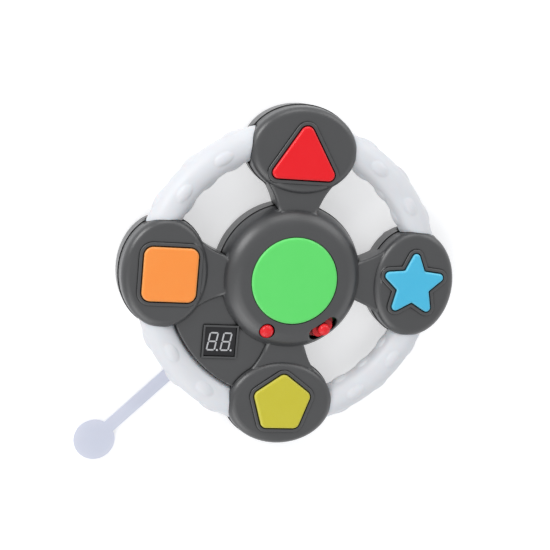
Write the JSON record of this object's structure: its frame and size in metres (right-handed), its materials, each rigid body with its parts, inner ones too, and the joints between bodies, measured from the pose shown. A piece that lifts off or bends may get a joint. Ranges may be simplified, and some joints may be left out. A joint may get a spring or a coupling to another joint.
{
  "type": "electronic memory game",
  "caption": "Handheld electronic memory game shaped like a steering wheel, with lit shape buttons on its lobes and hub, lumpy rim grips, a digit display, a mode knob and a pull-out battery tab.",
  "frame": {"origin": "centre of the toy, on the plane of its flat back", "axes": "+Z out of the face with the buttons, +Y from the hub towards the triangle button, +X from the hub towards the star button"},
  "size_m": [0.1794, 0.1794, 0.0256],
  "materials": {
    "housing_grey": "satin moulded plastic",
    "grip_white": "satin, slightly translucent blow-moulded plastic",
    "cap_red": "satin translucent plastic",
    "cap_orange": "satin translucent plastic",
    "cap_blue": "satin translucent plastic",
    "cap_yellow": "satin translucent plastic",
    "cap_green": "satin translucent plastic",
    "control_red": "glossy plastic",
    "silicone": "soft silicone",
    "lamp_resin": "clear resin",
    "board_laminate": "laminate",
    "ribbon_cable": "flat cable",
    "display_black": "satin",
    "display_segment": "satin",
    "chip_resin": "glossy resin",
    "speaker_frame": "satin",
    "cell_jacket": "printed foil, left blank",
    "contact_metal": "nickel plated",
    "screw_steel": "zinc plated",
    "wiper_brass": "bare",
    "tab_film": "thin film"
  },
  "bodies": {
    "housing": {"front_shell": "housing_grey", "back_shell": "housing_grey", "grip_upper_right": "grip_white", "grip_upper_left": "grip_white", "grip_lower_left": "grip_white", "grip_lower_right": "grip_white", "triangle_dome": "silicone", "square_dome": "silicone", "star_dome": "silicone", "pentagon_dome": "silicone", "centre_dome": "silicone", "round_pad": "silicone", "triangle_lamp": "lamp_resin", "square_lamp": "lamp_resin", "star_lamp": "lamp_resin", "pentagon_lamp": "lamp_resin", "centre_lamp": "lamp_resin", "main_board": "board_laminate", "display_board": "board_laminate", "triangle_board": "board_laminate", "square_board": "board_laminate", "star_board": "board_laminate", "pentagon_board": "board_laminate", "triangle_ribbon": "ribbon_cable", "square_ribbon": "ribbon_cable", "star_ribbon": "ribbon_cable", "pentagon_ribbon": "ribbon_cable", "display_ribbon": "ribbon_cable", "display_module": "display_black", "display_digits": "display_segment", "sound_chip": "chip_resin", "speaker": "speaker_frame", "battery_left": "cell_jacket", "battery_middle": "cell_jacket", "battery_right": "cell_jacket", "battery_springs": "contact_metal", "battery_contacts": "contact_metal", "shell_screws": "screw_steel", "board_screws": "screw_steel"},
    "triangle_press": {"triangle_button": "cap_red"},
    "square_press": {"square_button": "cap_orange"},
    "star_press": {"star_button": "cap_blue"},
    "pentagon_press": {"pentagon_button": "cap_yellow"},
    "centre_press": {"centre_button": "cap_green"},
    "round_press": {"round_button": "control_red"},
    "mode_selector": {"mode_knob": "control_red", "mode_wiper": "wiper_brass"},
    "door": {"battery_door": "housing_grey", "battery_door_screws": "screw_steel"},
    "tab": {"pull_tab": "tab_film"}
  },
  "joints": [
    {"name": "triangle_push", "type": "slide", "parent": "housing", "child": "triangle_press", "axis": [0, 0, -1], "range_m": [0, 0.0015], "stiffness_N_per_m": 700, "springref_m": -0.0005, "deforming": ["triangle_dome"]},
    {"name": "square_push", "type": "slide", "parent": "housing", "child": "square_press", "axis": [0, 0, -1], "range_m": [0, 0.0015], "stiffness_N_per_m": 700, "springref_m": -0.0005, "deforming": ["square_dome"]},
    {"name": "star_push", "type": "slide", "parent": "housing", "child": "star_press", "axis": [0, 0, -1], "range_m": [0, 0.0015], "stiffness_N_per_m": 700, "springref_m": -0.0005, "deforming": ["star_dome"]},
    {"name": "pentagon_push", "type": "slide", "parent": "housing", "child": "pentagon_press", "axis": [0, 0, -1], "range_m": [0, 0.0015], "stiffness_N_per_m": 700, "springref_m": -0.0005, "deforming": ["pentagon_dome"]},
    {"name": "centre_push", "type": "slide", "parent": "housing", "child": "centre_press", "axis": [0, 0, -1], "range_m": [0, 0.0015], "stiffness_N_per_m": 700, "springref_m": -0.0005, "deforming": ["centre_dome"]},
    {"name": "round_push", "type": "slide", "parent": "housing", "child": "round_press", "axis": [0, 0, -1], "range_m": [0, 0.0008], "stiffness_N_per_m": 700, "springref_m": -0.0005, "deforming": ["round_pad"]},
    {"name": "mode_turn", "type": "hinge", "parent": "housing", "child": "mode_selector", "pos_m": [0, 0, 0.0187], "axis": [0, 0, 1], "range_deg": [-4.5, 4.5]},
    {"name": "door_lift", "type": "slide", "parent": "housing", "child": "door", "axis": [0, 0, -1], "range_m": [0, 0.012]},
    {"name": "tab_pull", "type": "slide", "parent": "housing", "child": "tab", "axis": [-0.7071, -0.7071, 0], "range_m": [0, 0.045]}
  ]
}
